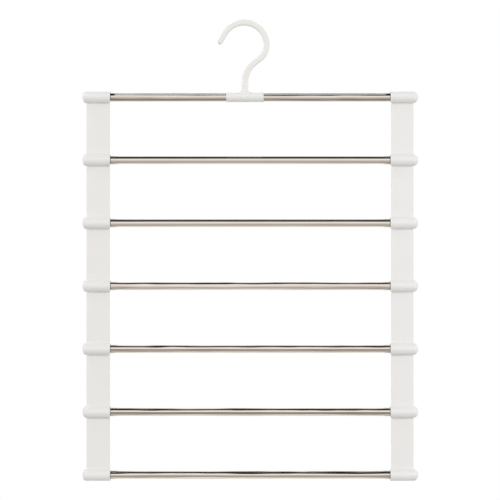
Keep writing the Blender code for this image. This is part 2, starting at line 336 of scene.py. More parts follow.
@dataclass(frozen=True)
class PolishedStainless:
    """Stainless steel tube, drawn and then polished almost to a mirror.

    It mirrors the studio in sharp bands along the tube. The drawing die leaves fine lines along it, which
    soften those bands across, and slow waves, which make them swell and thin. Handling leaves patches of
    haze. A painted shade darkens the steel in a line at the barrels' mouths, and in wedges on top and
    underneath that stand for the barrels' shade on the tube.

    Args:
        name: the material's name.
        colour: the steel's colour.
        hazed: its colour under the haze of handling.
        stain: its colour under the painted shade at the barrels' mouths.
        mouths: the places along X where the tube enters its barrels.
        scuffed_above: the heights above which the sliding hook has scuffed the polish, at the left and the
            right mouth, if anywhere.
        darker_below: the height below which the steel's colour is darker, if anywhere.
        dark_underside: the steel's colour below that height.
        dark_band: the colour of the painted dark reflection along the tube's front, if it has one.
        dark_band_place: the upward part of the normal in the middle of that band.
        dark_band_width: half the band's width, as a part of the normal.
        dark_band_fade: the width of its soft edges, measured the same way.
        shade_start: how far from a barrel's mouth the painted dark line there begins to fade.
        shade_end: how far from it the line has faded out.
        wedge: the length of the wedges of painted shade.
        wedge_slope: the upward part of the normal at which the wedges begin.
        roughness: the polish's roughness where it is clean.
        hazed_roughness: its roughness under the thickest haze.
        haze: the patches of haze.
        haze_start: the level of their pattern at which the haze begins.
        haze_full: the level at which it is thickest.
        scuff_roughness: the roughness of the scuffed part.
        scuff_fade: the height over which the scuffs fade out.
        clean_start: how far from a barrel the scuffs begin.
        clean_end: how far from a barrel they have come to their full strength.
        lines: the die's lines, by the length over which one fades and their spacing round the tube.
        line_height: their depth.
        waves: the tube's waves.
        wave_height: their height.
    """

    name: str
    colour: str
    hazed: str
    # The colour of the painted shade at the barrels' mouths.
    stain: str
    mouths: tuple[float, float]
    scuffed_above: tuple[float, float] | None = None
    # The darker colour of the tube's underside, and the height below which it lies.
    darker_below: float | None = None
    dark_underside: str = "#A8A097"
    # The painted dark reflection along the front.
    dark_band: str | None = None
    dark_band_place: float = -0.12
    dark_band_width: float = 0.13
    dark_band_fade: float = 0.08
    # The reach of the painted shade at the mouths, and of its wedges.
    shade_start: float = 0.45 * MM
    shade_end: float = 1.1 * MM
    wedge: float = 8 * MM
    wedge_slope: float = 0.65
    roughness: float = 0.03
    hazed_roughness: float = 0.06
    haze: Pattern = Pattern(along=35 * MM, across=12 * MM, layers=4.0)
    haze_start: float = 0.38
    haze_full: float = 0.75
    scuff_roughness: float = 0.5
    scuff_fade: float = 1.5 * MM
    clean_start: float = 2 * MM
    clean_end: float = 7 * MM
    lines: Pattern = Pattern(along=90 * MM, across=0.8 * MM, layers=2.0)
    line_height: float = 0.001 * MM
    waves: Pattern = Pattern(along=45 * MM, across=9 * MM, layers=1.0)
    wave_height: float = 1.3 * MM

    def material(self) -> Material:
        """Builds the steel's nodes.

        Returns:
            The material.
        """
        made, tree, shader = new_material(self.name)
        coordinates = add_node(tree, "TexCoord").outputs
        place, facing = coordinates["Object"], coordinates["Normal"]
        patches = self.haze.add(tree, place)
        levels = {"From Min": self.haze_start, "From Max": self.haze_full}
        polish = {"Value": patches, **levels, "To Min": self.roughness, "To Max": self.hazed_roughness}
        gloss = add_node(tree, "MapRange", polish)
        tones = [(self.haze_start, linear(self.colour)), (self.haze_full, linear(self.hazed))]
        tone = add_node(tree, "ValToRGB", {"Fac": patches}, tones)
        # A darker colour on the underside, where the tube has one.
        if self.darker_below is not None:
            tone = self.darken_underside(tree, place, tone)
        # A painted dark reflection along the front, where the tube has one.
        if self.dark_band is not None:
            tone = self.paint_dark_band(tree, facing, tone)
        inside = self.from_mouths(tree, place)
        feed(
            shader,
            {
                "Metallic": 1.0,
                # Painted shade darkens the steel at the barrels' mouths.
                "Base Color": self.paint_mouth_shade(tree, facing, inside, tone),
                "Roughness": self.scuffed(tree, place, inside, gloss),
                "Normal": self.relief(tree, place),
            },
        )
        return made

    def darken_underside(self, tree: NodeTree, place: Source, tone: Source) -> Node:
        """Makes the steel's colour darker below a height on the tube's underside.

        Args:
            tree: the material's node tree.
            place: the piece's own coordinates.
            tone: the colour of the steel above it.

        Returns:
            The node with the colour.
        """
        height = add_node(tree, "SeparateXYZ", {"Vector": place}).outputs["Z"]
        # Darker towards the bottom: below the height the steel takes the darker colour.
        low, high = self.darker_below - self.scuff_fade / 2, self.darker_below + self.scuff_fade / 2
        edge = {"Value": height, "From Min": low, "From Max": high}
        lighter_above = add_node(tree, "MapRange", edge, interpolation_type="SMOOTHSTEP")
        return add_node(tree, "Mix", {0: lighter_above, TONE_A: linear(self.dark_underside), TONE_B: tone}, data_type="RGBA")

    def paint_dark_band(self, tree: NodeTree, facing: Source, tone: Source) -> Node:
        """Paints a dark band along the tube's front, which stands in for a dark reflection there.

        Args:
            tree: the material's node tree.
            facing: the normal in the piece's own axes.
            tone: the colour of the steel beside it.

        Returns:
            The node with the colour.
        """
        # Painted reflection: a dark band, on the front half of the tube only.
        parts = add_node(tree, "SeparateXYZ", {"Vector": facing}).outputs
        off = add_node(tree, "Math", {0: parts["Z"], 1: self.dark_band_place}, operation="SUBTRACT")
        away = add_node(tree, "Math", {0: off}, operation="ABSOLUTE")
        edge = {"Value": away, "From Min": self.dark_band_width, "From Max": self.dark_band_width + self.dark_band_fade}
        plain = add_node(tree, "MapRange", edge, interpolation_type="SMOOTHSTEP")
        behind = add_node(tree, "Math", {0: parts["Y"], 1: 0.0}, operation="GREATER_THAN")
        steel = add_node(tree, "Math", {0: plain, 1: behind}, operation="MAXIMUM")
        return add_node(tree, "Mix", {0: steel, TONE_A: linear(self.dark_band), TONE_B: tone}, data_type="RGBA")

    def paint_mouth_shade(self, tree: NodeTree, facing: Source, inside: Source, tone: Source) -> Node:
        """Paints the joint's shade at the barrels' mouths: a dark line, and wedges on top and underneath.

        Args:
            tree: the material's node tree.
            facing: the normal in the piece's own axes.
            inside: the distance from the nearer mouth.
            tone: the colour of the steel outside that painted shade.

        Returns:
            The node with the colour.
        """
        upward = add_node(tree, "SeparateXYZ", {"Vector": facing}).outputs["Z"]
        steep = add_node(tree, "Math", {0: upward}, operation="ABSOLUTE")
        growth = {"Value": steep, "From Min": self.wedge_slope, "From Max": 1.0, "To Max": self.wedge}
        wedge = add_node(tree, "MapRange", growth)
        # Painted shade: where the tube faces up or down, the dark line reaches further from the mouth.
        past_wedge = add_node(tree, "Math", {0: inside, 1: wedge}, operation="SUBTRACT")
        edge = {"Value": past_wedge, "From Min": self.shade_start, "From Max": self.shade_end}
        unmarked = add_node(tree, "MapRange", edge, interpolation_type="SMOOTHSTEP")
        return add_node(tree, "Mix", {0: unmarked, TONE_A: linear(self.stain), TONE_B: tone}, data_type="RGBA")

    def scuffed(self, tree: NodeTree, place: Source, inside: Source, polished: Source) -> Source:
        """Roughens the upper side of a tube that the sleeve slides on, so that it turns an even pale grey.

        Args:
            tree: the material's node tree.
            place: the piece's own coordinates.
            inside: the distance from the nearer mouth.
            polished: the roughness of the unscuffed steel.

        Returns:
            The node with the roughness.
        """
        if self.scuffed_above is None:
            return polished
        parts = add_node(tree, "SeparateXYZ", {"Vector": place}).outputs
        start, end = self.mouths
        low, high = self.scuffed_above
        slope = {"Value": parts["X"], "From Min": start, "From Max": end, "To Min": low, "To Max": high}
        edge = add_node(tree, "MapRange", slope)
        above = add_node(tree, "Math", {0: parts["Z"], 1: edge}, operation="SUBTRACT")
        fade = {"Value": above, "From Min": -self.scuff_fade / 2, "From Max": self.scuff_fade / 2}
        upper = add_node(tree, "MapRange", fade, interpolation_type="SMOOTHSTEP")
        reach = {"Value": inside, "From Min": self.clean_start, "From Max": self.clean_end}
        reached = add_node(tree, "MapRange", reach, interpolation_type="SMOOTHSTEP")
        both = add_node(tree, "Math", {0: upper, 1: reached}, operation="MULTIPLY")
        gloss = {0: both, "A": polished, "B": self.scuff_roughness}
        return add_node(tree, "Mix", gloss, data_type="FLOAT")

    def relief(self, tree: NodeTree, place: Source) -> Node:
        """Adds the die's lines and the tube's waves.

        Args:
            tree: the material's node tree.
            place: the piece's own coordinates.

        Returns:
            The node with the bumped normal.
        """
        # The die's lines lie some 0.05 mm apart. They are drawn coarser so that they show at all.
        lines = {"Height": self.lines.add(tree, place), "Distance": self.line_height, "Strength": 1.0}
        scored = add_node(tree, "Bump", lines)
        # A good tube's waves are a few hundredths of a millimetre high. They are drawn higher, because at
        # this size only a wave that moves a band by half a pixel shows.
        waves = {"Height": self.waves.add(tree, place), "Distance": self.wave_height, "Strength": 1.0}
        return add_node(tree, "Bump", {**waves, "Normal": scored})

    def from_mouths(self, tree: NodeTree, place: Source) -> Node:
        """Measures how far a point lies from the nearer barrel's mouth.

        Args:
            tree: the material's node tree.
            place: the piece's own coordinates.

        Returns:
            The node with the distance, negative inside the barrels.
        """
        along = add_node(tree, "SeparateXYZ", {"Vector": place}).outputs["X"]
        left, right = self.mouths
        from_left = add_node(tree, "Math", {0: along, 1: left}, operation="SUBTRACT")
        from_right = add_node(tree, "Math", {0: right, 1: along}, operation="SUBTRACT")
        return add_node(tree, "Math", {0: from_left, 1: from_right}, operation="MINIMUM")


@dataclass(frozen=True)
class MattVinyl:
    """White vinyl sheet, rolled matt, as a studio has it on its floor.

    It takes a soft shadow and mirrors nothing.

    Args:
        colour: the vinyl's colour.
        roughness: its roughness.
        glow: the light added to it as it is seen and mirrored, which brings it to white.
        solid: the radius within which the sheet is solid.
        faded: the radius at which it has faded into the white around it.
    """

    colour: str = "#A6A29E"
    roughness: float = 0.9
    glow: float = 0.62
    solid: float = 0.15
    faded: float = 0.48

    def material(self) -> Material:
        """Builds the vinyl's nodes.

        Returns:
            The material.
        """
        made, tree, shader = new_material("matt_white_vinyl")
        path = add_node(tree, "LightPath").outputs
        rays = {0: path["Is Camera Ray"], 1: path["Is Glossy Ray"]}
        seen = add_node(tree, "Math", rays, operation="MAXIMUM")
        place = add_node(tree, "TexCoord").outputs["Object"]
        level = add_node(tree, "VectorMath", {0: place, 1: (1.0, 1.0, 0.0)}, operation="MULTIPLY")
        away = add_node(tree, "VectorMath", {0: level}, operation="LENGTH")
        edge = {"Value": away, "From Min": self.solid, "From Max": self.faded, "To Min": 1.0, "To Max": 0.0}
        feed(
            shader,
            {
                "Base Color": linear(self.colour),
                "Roughness": self.roughness,
                "Emission Color": grey(1.0),
                "Emission Strength": add_node(tree, "Math", {0: seen, 1: self.glow}, operation="MULTIPLY"),
                "Alpha": add_node(tree, "MapRange", edge, interpolation_type="SMOOTHSTEP"),
            },
        )
        return made


# Mesh making


def arc(centre: tuple[float, float], radius: float, start: float, end: float, steps: int) -> Profile:
    """Gives points along an arc in a plane.

    Args:
        centre: the arc's centre.
        radius: its radius.
        start: the first point's angle in degrees.
        end: the last point's angle in degrees.
        steps: the number of steps between them.

    Returns:
        The points, the first and last included.
    """
    points = []
    for step in range(steps + 1):
        angle = math.radians(start + (end - start) * step / steps)
        points.append((centre[0] + radius * math.cos(angle), centre[1] + radius * math.sin(angle)))
    return points


def mesh_from(name: str, bm: bmesh.types.BMesh) -> Mesh:
    """Turns a bmesh into a mesh whose faces point out.

    Args:
        name: the mesh's name.
        bm: the bmesh, which is freed.

    Returns:
        The mesh.
    """
    bmesh.ops.remove_doubles(bm, verts=bm.verts, dist=MERGE_DISTANCE)
    bmesh.ops.recalc_face_normals(bm, faces=bm.faces)
    mesh = bpy.data.meshes.new(name)
    bm.to_mesh(mesh)
    bm.free()
    return mesh


def turned(name: str, profile: Profile, sides: int, closed: bool = True, phase: float = 0.0) -> Mesh:
    """Turns a profile round the X axis.

    Args:
        name: the mesh's name.
        profile: points of distance along X and radius.
        sides: the number of facets round the axis.
        closed: whether the last point joins the first, as round a bore.
        phase: how far the facets are turned, as a share of one facet.

    Returns:
        The mesh, centred on the axis.
    """
    bm = bmesh.new()
    points = [bm.verts.new((along, 0.0, radius)) for along, radius in profile]
    edges = [bm.edges.new(pair) for pair in zip(points, points[1:])]
    if closed:
        edges.append(bm.edges.new((points[-1], points[0])))
    bmesh.ops.spin(
        bm,
        geom=points + edges,
        cent=(0, 0, 0),
        axis=(1, 0, 0),
        angle=math.tau,
        steps=sides,
        use_merge=True,
    )
    bmesh.ops.rotate(bm, verts=bm.verts, matrix=Matrix.Rotation(math.tau * phase / sides, 3, "X"))
    return mesh_from(name, bm)


def lofted(name: str, loops: Sequence[Sequence[Point]]) -> Mesh:
    """Skins a row of loops and fills both ends.

    Args:
        name: the mesh's name.
        loops: loops of points, each with as many as the next.

    Returns:
        The closed mesh.
    """
    bm = bmesh.new()
    rings = [[bm.verts.new(point) for point in loop] for loop in loops]
    for low, high in zip(rings, rings[1:]):
        for here in range(len(low)):
            following = (here + 1) % len(low)
            bm.faces.new((low[here], low[following], high[following], high[here]))
    bm.faces.new(rings[0])
    bm.faces.new(rings[-1])
    return mesh_from(name, bm)


def in_scene(name: str, data: bpy.types.ID) -> Object:
    """Makes an object and puts it in the scene.

    Args:
        name: the object's name.
        data: its mesh, lamp or camera.

    Returns:
        The object.
    """
    item = bpy.data.objects.new(name, data)
    bpy.context.scene.collection.objects.link(item)
    return item


def modified(item: Object) -> Mesh:
    """Gives the mesh that an object's modifiers make."""
    depsgraph = bpy.context.evaluated_depsgraph_get()
    return bpy.data.meshes.new_from_object(item.evaluated_get(depsgraph))


def combined(base: Mesh, added: Iterable[Mesh], cut: Iterable[Mesh]) -> Mesh:
    """Joins solids to a base, then cuts others from it.

    Args:
        base: the solid to start from.
        added: the solids that are joined to it.
        cut: the solids that are cut from it.

    Returns:
        The new solid.
    """
    item = in_scene(base.name, base)
    helpers = [item]
    for operation, meshes in (("UNION", added), ("DIFFERENCE", cut)):
        for mesh in meshes:
            helper = in_scene(mesh.name, mesh)
            helpers.append(helper)
            modifier = item.modifiers.new(mesh.name, "BOOLEAN")
            modifier.operation = operation
            modifier.solver = "EXACT"
            modifier.object = helper
    made = modified(item)
    for helper in helpers:
        bpy.data.objects.remove(helper, do_unlink=True)
    return made


@dataclass(frozen=True)
class EdgeBreak:
    """The small radius that a mould leaves on its sharp edges.

    Args:
        width: the width of the rounding.
        sharp_angle: edges that turn by more degrees than this are rounded.
        segments: the number of facets across the rounding.
    """

    width: float = 0.12 * MM
    sharp_angle: float = 40.0
    segments: int = 2

    def apply(self, mesh: Mesh) -> Mesh:
        """Rounds a mesh's sharp edges and evens its shading.

        Args:
            mesh: the mesh to round.

        Returns:
            The rounded mesh.
        """
        item = in_scene(mesh.name, mesh)
        mesh.shade_smooth()
        bevel = item.modifiers.new("edge break", "BEVEL")
        bevel.width = self.width
        bevel.segments = self.segments
        bevel.limit_method = "ANGLE"
        bevel.angle_limit = math.radians(self.sharp_angle)
        bevel.harden_normals = True
        made = modified(item)
        bpy.data.objects.remove(item, do_unlink=True)
        return made


def stand_for(mesh: Mesh, node: str, body: str, finish: Material) -> Object:
    """Makes a piece from a mesh and puts it in the place of a node of the frame.

    Args:
        mesh: the piece's mesh, in the frame's own coordinates.
        node: the frame's node that the piece stands for.
        body: the body that the piece moves with.
        finish: the piece's material.

    Returns:
        The piece.
    """
    mesh.name = f"{node}_fine"
    mesh.materials.clear()
    mesh.materials.append(finish)
    piece = in_scene(mesh.name, mesh)
    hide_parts(node)
    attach(piece, body)
    LOG.info("%s: %d faces on body %s", piece.name, len(mesh.polygons), body)
    return piece


# Pieces


@dataclass(frozen=True)
class Bar:
    """The place and outer size of one tube, read from the frame.

    Args:
        number: the tube's number from the top.
        x: the middle of the tube along X.
        z: the height of its axis.
        radius: its outer radius.
        half_length: half its length.
    """

    number: int
    x: float
    z: float
    radius: float
    half_length: float

    @classmethod
    def read(cls, number: int) -> Bar:
        """Reads a tube from the frame.

        Args:
            number: the tube's number from the top.

        Returns:
            The tube's place and size.
        """
        low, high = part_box(f"tube_{number}")
        centre = (low + high) / 2
        return cls(number, centre.x, centre.z, (high.z - low.z) / 2, (high.x - low.x) / 2)

    @property
    def body(self) -> str:
        """The body that the tube and its barrels move with."""
        return "top_bar" if self.number == 1 else f"tier_{self.number}"


@dataclass(frozen=True)
class SteelTube:
    """Makes the steel tubes.

    Args:
        wall: the tube's wall.
        lip: the chamfer that deburring leaves on the tube's ends.
        sides: the number of facets round it.
        sharp_angle: edges that turn by more degrees than this stay sharp.
        flat: the depth of the flat that the drawing has left along the tube, below zero for a ridge.
        flat_place: where that flat lies, in degrees up from straight in front.
        flat_reach: how far it reaches to each side of that, in degrees.
    """

    wall: float = 0.5 * MM
    lip: float = 0.15 * MM
    sides: int = 96
    sharp_angle: float = 30.0
    flat: float = 0.0
    flat_place: float = 41.0
    flat_reach: float = 40.0

    def make(self, bar: Bar, finish: Material) -> Object:
        """Builds one tube.

        Args:
            bar: the tube's place.
            finish: its steel.

        Returns:
            The piece.
        """
        end = bar.half_length
        outer, inner = bar.radius, bar.radius - self.wall
        profile = [
            (-end + self.lip, outer),
            (end - self.lip, outer),
            (end, outer - self.lip),
            (end, inner),
            (-end, inner),
            (-end, outer - self.lip),
        ]
        mesh = turned("tube", profile, self.sides)
        self.flatten(mesh, outer)
        mesh.transform(Matrix.Translation((bar.x, 0, bar.z)))
        mesh.shade_smooth()
        mesh.set_sharp_from_angle(angle=math.radians(self.sharp_angle))
        return stand_for(mesh, f"tube_{bar.number}", bar.body, finish)

    def flatten(self, mesh: Mesh, radius: float) -> None:
        """Presses the flat into a tube, which widens the band that it mirrors there. A ridge narrows it.

        Args:
            mesh: the tube's mesh, its axis on the X axis.
            radius: its outer radius.
        """
        for vertex in mesh.vertices:
            off = math.degrees(math.atan2(vertex.co.z, -vertex.co.y)) - self.flat_place
            if abs(off) < self.flat_reach:
                share = (1 + math.cos(math.pi * off / self.flat_reach)) / 2
                shrink = 1 - self.flat * share / radius
                vertex.co.y *= shrink
                vertex.co.z *= shrink


@dataclass(frozen=True)
class Barrel:
    """Makes the round barrels at the tubes' ends, with the mouth at x = 0 and the dome towards +X.

    Args:
        length: the barrel's length, dome included.
        radius: its outer radius.
        tube: the radius of the tube that it holds.
        dome: the depth of its domed end.
        fit: the gap between the tube and the socket.
        rim: the radius of the edge round its mouth.
        nose: the solid depth of plastic behind the socket.
        grip: the length of the socket that holds the tube.
        bearing: the radius of the bearing that a link's eye turns in.
        run_out: how far the slot runs past the bearing's floor.
        front_stop: the slot's front edge, in degrees from straight down.
        rear_stop: the slot's rear edge, in degrees from straight down.
        sides: the number of facets round it.
        dome_steps: the number of facets from the dome's foot to its tip.
        rim_steps: the number of facets across the rim.
        slot_steps: the number of facets across the slot.
    """

    length: float
    radius: float
    tube: float
    dome: float
    fit: float = RUNNING_GAP
    rim: float = 0.5 * MM
    nose: float = 4 * MM
    grip: float = 7.7 * MM
    bearing: float = 5.7 * MM
    run_out: float = 0.1 * MM
    front_stop: float = 18.6
    rear_stop: float = 55.6
    sides: int = 72
    dome_steps: int = 14
    rim_steps: int = 4
    slot_steps: int = 6

    @property
    def socket(self) -> float:
        """The radius of the socket."""
        return self.tube + self.fit

    @property
    def bearing_end(self) -> float:
        """How deep the bearing goes."""
        return self.length - self.nose - self.grip

    def outer_profile(self) -> Profile:
        """Gives the outside, from the mouth's face over the dome to the axis.

        Returns:
            Points of distance from the mouth and radius.
        """
        points = arc((self.rim, self.radius - self.rim), self.rim, 180, 90, self.rim_steps)
        start = self.length - self.dome
        for step in range(self.dome_steps + 1):
            angle = math.pi / 2 * step / self.dome_steps
            points.append((start + self.dome * math.sin(angle), self.radius * math.cos(angle)))
        return points

    def solid(self) -> Mesh:
        """Makes the barrel before its bores."""
        return turned("barrel", [(0.0, 0.0), *self.outer_profile()], self.sides, closed=False)

    def slot(self) -> Mesh:
        """Makes the cutter of the slot in the underside, which a link's neck swings in.

        Returns:
            The cutter.
        """
        stops = (-90 - self.front_stop, -90 + self.rear_stop)
        outside = arc((0.0, 0.0), self.radius + CUT_OVERRUN, *stops, self.slot_steps)
        inside = arc((0.0, 0.0), self.tube, *reversed(stops), self.slot_steps)
        ends = (-CUT_OVERRUN, self.bearing_end + self.run_out)
        return lofted("slot", [[(x, y, z) for y, z in (*outside, *inside)] for x in ends])

    def cutters(self, holds_link: bool) -> list[Mesh]:
        """Makes what is cut from a barrel.

        Args:
            holds_link: whether a link hangs from the tube in this barrel.

        Returns:
            The bore's cutter and, where a link hangs, the slot's.
        """
        start, floor, end = -CUT_OVERRUN, self.bearing_end, self.length - self.nose
        wide = [(start, self.bearing), (floor, self.bearing), (floor, self.socket)]
        narrow = [(start, self.socket)]
        profile = [(start, 0.0), *(wide if holds_link else narrow), (end, self.socket), (end, 0.0)]
        bore = turned("bore", profile, self.sides, closed=False, phase=CUT_PHASE)
        return [bore, self.slot()] if holds_link else [bore]


@dataclass(frozen=True)
class TopCap:
    """Makes the two barrels that end the top tube.

    Args:
        barrel: the barrel's sizes.
        edge_break: the rounding of its edges.
    """

    barrel: Barrel
    edge_break: EdgeBreak = EdgeBreak()

    def make(self, side: Side, bar: Bar, finish: Material) -> Object:
        """Builds one cap.

        Args:
            side: the end of the hanger.
            bar: the top tube.
            finish: the cap's plastic.

        Returns:
            The piece.
        """
        node = f"top_cap_{side.word}"
        mesh = combined(self.barrel.solid(), [], self.barrel.cutters(True))
        mesh = self.edge_break.apply(mesh)
        put_at_end(mesh, side, node, bar.z)
        return stand_for(mesh, node, "top_caps", finish)


def put_at_end(mesh: Mesh, side: Side, node: str, height: float) -> None:
    """Moves a right-hand piece, whose barrel's mouth is at x = 0, to its end of the hanger.

    Args:
        mesh: the piece's mesh, its origin on the axis of the tube at that height.
        side: the end of the hanger.
        node: the frame's node at that end, which gives the place of the mouth.
        height: the height of the tube's axis.
    """
    low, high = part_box(node)
    mouth = low.x if side is Side.RIGHT else high.x
    mesh.transform(Matrix.Scale(side.value, 4, (1, 0, 0)))
    if side is Side.LEFT:
        mesh.flip_normals()
    mesh.transform(Matrix.Translation((mouth, 0, height)))


@dataclass(frozen=True)
class Link:
    """Makes the links, each one moulding of eye, neck, plate and barrel, for the right-hand end.

    The origin is on the tube above, in the plane of that tube's barrel's mouth.

    Args:
        barrel: the barrel at the link's foot.
        pitch: the distance from one tube to the next.
        outer_inset: how far the plate's outer edge lies inside the barrel's tip.
        inner_inset: how far its inner edge lies behind the barrel's mouth.
        thickness: the plate's thickness.
        edge: the radius along the plate's edges.
        shoulder: the radius round the plate's top.
        shoulder_drop: how far the plate's top lies below the barrel above.
        web: the thickness of the thin web that closes the groove between them.
        web_gap: the gap between that web and the barrel above.
        flare: the radius of the sweep from the plate's faces and its outer edge into the barrel.
        root: how far the plate's root reaches below the barrel's axis.
        neck: the thickness of the neck.
        neck_inset: how far its outer edge lies inside the eye's end.
        eye: the eye's outer radius.
        play: the gap between the eye's end and the bearing's floor.
        edge_steps: the number of facets across a rounded edge.
        flare_steps: the number of facets along the sweep.
        edge_break: the rounding of the sharp edges.
    """

    barrel: Barrel
    pitch: float
    outer_inset: float
    inner_inset: float
    thickness: float = 2.6 * MM
    edge: float = 0.5 * MM
    shoulder: float = 0.25 * MM
    shoulder_drop: float = 0.85 * MM
    web: float = 1.4 * MM
    web_gap: float = 0.12 * MM
    flare: float = 3 * MM
    root: float = 1.7 * MM
    neck: float = 1.6 * MM
    neck_inset: float = 0.1 * MM
    eye: float = 5.45 * MM
    play: float = 0.3 * MM
    edge_steps: int = 4
    flare_steps: int = 12
    edge_break: EdgeBreak = EdgeBreak()

    def section(self, half: float, outer: float, corner: float, z: float) -> list[Point]:
        """Gives a level section of the plate.

        Args:
            half: half its thickness.
            outer: the place of its outer edge.
            corner: the radius at the corners of its outer edge.
            z: its height.

        Returns:
            The section's points, with a pair beside each corner that keeps the flats flat.
        """
        inner = self.inner_inset
        corners = (
            (outer - corner, half - corner, corner, 0),
            (inner + self.edge, half - self.edge, self.edge, 90),
            (inner + self.edge, self.edge - half, self.edge, 180),
            (outer - corner, corner - half, corner, 270),
        )
        points: list[Point] = []
        for x, y, radius, start in corners:
            round_corner = arc((x, y), radius, start, start + 90, self.edge_steps)
            points += [(px, py, z) for px, py in round_corner]
        return points

    def plate(self) -> Mesh:
        """Makes the plate, sweeping at its foot into the barrel that it carries.

        Returns:
            The plate.
        """
        half = self.thickness / 2
        outer = self.barrel.length - self.outer_inset
        reach = self.barrel.radius + self.flare
        top = math.sqrt(reach**2 - (half + self.flare) ** 2)
        last = math.asin(top / reach)
        crest = -(self.barrel.radius + self.shoulder_drop)
        flat_end = top - self.pitch
        loops = []
        for inset, drop in arc((self.shoulder, self.shoulder), self.shoulder, 270, 180, self.edge_steps):
            corner = self.edge - inset
            loops.append(self.section(half - inset, outer - inset, corner, crest - drop))
        loops.append(self.section(half, outer, self.edge, flat_end))
        for step in range(1, self.flare_steps + 1):
            share = step / self.flare_steps
            turn = last * share
            growth = self.flare * (1 - math.cos(turn))
            corner = self.edge + (half - self.edge) * share + growth * share
            z = flat_end - self.flare * math.sin(turn)
            loops.append(self.section(half + growth, outer + growth, corner, z))
        loops.append([(x, y, -self.pitch - self.root) for x, y, _ in loops[-1]])
        return lofted("plate", loops)

    def upright(self, thickness: float, end: float, top: float) -> Mesh:
        """Makes a flat upright that stands in the plate's top.

        Args:
            thickness: its thickness.
            end: the place of its outer edge.
            top: the height of its top.

        Returns:
            The upright.
        """
        half = thickness / 2
        start = self.inner_inset + self.edge
        foot = -(self.barrel.radius + self.shoulder_drop + 2 * self.edge)
        outline = [(start, -half), (end, -half), (end, half), (start, half)]
        return lofted("upright", [[(x, y, z) for x, y in outline] for z in (top, foot)])

    def uprights(self) -> list[Mesh]:
        """Makes the neck that carries the eye and the thin web beside it.

        Returns:
            The neck and the web.
        """
        inside_eye = -(self.barrel.socket + self.eye) / 2
        under_barrel = -(self.barrel.radius + self.web_gap)
        plate_end = self.barrel.length - self.outer_inset - self.edge
        return [
            self.upright(self.neck, self.eye_end - self.neck_inset, inside_eye),
            self.upright(self.web, plate_end, under_barrel),
        ]

    @property
    def eye_end(self) -> float:
        """How far the eye reaches into the bearing."""
        return self.barrel.bearing_end - self.play

    def eye_ring(self) -> Mesh:
        """Makes the eye that rides on the tube above.

        Returns:
            The eye.
        """
        bore = self.barrel.socket
        start, end = self.inner_inset, self.eye_end
        profile = [(start, bore), (start, self.eye), (end, self.eye), (end, bore)]
        return turned("eye", profile, self.barrel.sides)

    def make(self, side: Side, above: Bar, bar: Bar, last: bool, finish: Material) -> Object:
        """Builds one link.

        Args:
            side: the end of the hanger.
            above: the tube that the link hangs from.
            bar: the tube that it carries.
            last: whether it is the lowest, with nothing hung from it.
            finish: the link's plastic.

        Returns:
            The piece.
        """
        node = f"link_{side.word}_{bar.number}"
        lowered = Matrix.Translation((0, 0, -self.pitch))
        barrel = self.barrel.solid()
        cutters = self.barrel.cutters(not last)
        for mesh in (barrel, *cutters):
            mesh.transform(lowered)
        moulding = combined(self.plate(), [barrel, *self.uprights(), self.eye_ring()], cutters)
        moulding = self.edge_break.apply(moulding)
        put_at_end(moulding, side, node, above.z)
        return stand_for(moulding, node, bar.body, finish)


@dataclass(frozen=True)
class Run:
    """One stretch of the hook's rod.

    Args:
        length: its length if it is straight.
        bend: its bend radius if it is bent.
        turn: its turn in degrees, clockwise seen from the front.
        radius: the rod's radius at its end.
    """

    length: float
    bend: float
    turn: float
    radius: float


@dataclass(frozen=True)
class Station:
    """One place along the hook's rod.

    Args:
        x: its place along X.
        z: its height.
        heading: the rod's direction, in radians clockwise from straight up.
        radius: the rod's radius there.
        travel: how far along the rod it lies.
    """

    x: float
    z: float
    heading: float
    radius: float
    travel: float


